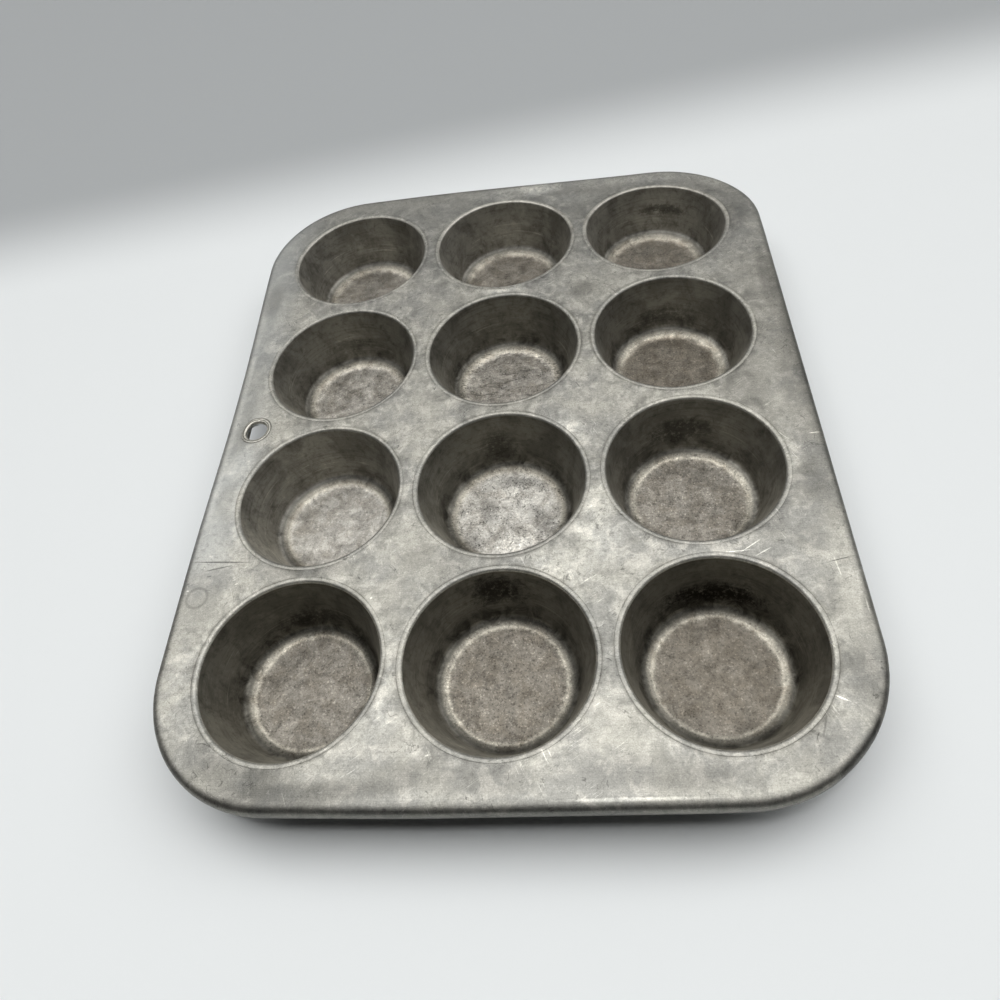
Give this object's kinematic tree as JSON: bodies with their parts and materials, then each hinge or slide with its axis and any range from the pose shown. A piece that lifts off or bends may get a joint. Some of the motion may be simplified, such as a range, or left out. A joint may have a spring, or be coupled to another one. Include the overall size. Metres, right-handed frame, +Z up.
{
  "type": "muffin pan",
  "caption": "Rectangular aluminium muffin pan: a flat deck with a hollow rolled rim and round corners, round tapered cups seamed into it in a grid, and an eyelet for hanging it up.",
  "frame": {"origin": "on the surface that the cups stand on, under the middle of the pan", "axes": "+X across the three columns of cups, with the hang hole at the -X side; +Y along the four rows, towards row 1; +Z up"},
  "size_m": [0.271, 0.3466, 0.0295],
  "materials": {
    "deck": "worn satin, mottled with age",
    "cup": "darkened by baking, floors rubbed lighter",
    "eyelet": "worn satin"
  },
  "bodies": {
    "root": {"pan_deck": "deck", "cup_r1_c1": "cup", "cup_r1_c2": "cup", "cup_r1_c3": "cup", "cup_r2_c1": "cup", "cup_r2_c2": "cup", "cup_r2_c3": "cup", "cup_r3_c1": "cup", "cup_r3_c2": "cup", "cup_r3_c3": "cup", "cup_r4_c1": "cup", "cup_r4_c2": "cup", "cup_r4_c3": "cup", "hang_eyelet": "eyelet"}
  },
  "joints": []
}
